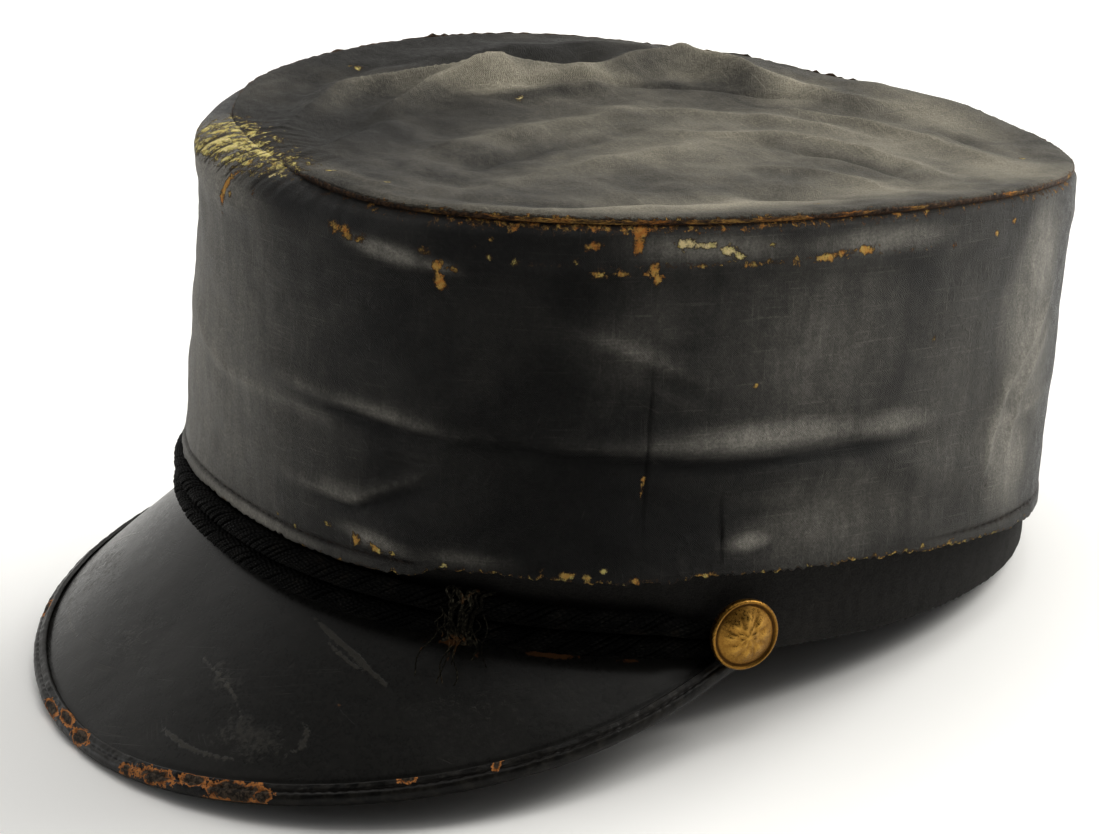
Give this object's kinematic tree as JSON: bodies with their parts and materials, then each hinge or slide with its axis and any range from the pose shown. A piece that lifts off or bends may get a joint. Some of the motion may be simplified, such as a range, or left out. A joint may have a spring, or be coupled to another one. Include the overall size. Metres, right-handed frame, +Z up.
{
  "type": "peaked cap",
  "caption": "Worn peaked cap with a tall oilcloth crown, wool band, glazed leather peak, braided front strap and domed brass buttons; lies on its peak edge and band.",
  "frame": {"origin": "centre of the bounding box at the surface that the cap lies on", "axes": "+Z up, -Y towards the peak, +X towards the wearer's left"},
  "size_m": [0.1976, 0.2729, 0.1316],
  "materials": {
    "oilcloth_wall": "worn black oilcloth gone dark grey, with orange-brown chips at its edges",
    "oilcloth_tip": "worn and creased warm grey oilcloth",
    "welt_cloth": "frayed corded seam, rubbed to its brown base cloth",
    "wool": "matt black wool",
    "glazed_leather": "semi-gloss black glazed leather, scuffed",
    "mohair": "twisted black mohair cord with a slight sheen",
    "brass": "old gilt brass, brown in its recesses"
  },
  "bodies": {
    "root": {"crown_wall": "oilcloth_wall", "crown_top": "oilcloth_tip", "top_welt": "welt_cloth", "band": "wool", "peak": "glazed_leather", "peak_binding": "glazed_leather", "braid_lower": "mohair", "braid_upper": "mohair", "keeper_left": "mohair", "keeper_right": "mohair", "button_left": "brass", "button_right": "brass"}
  },
  "joints": []
}
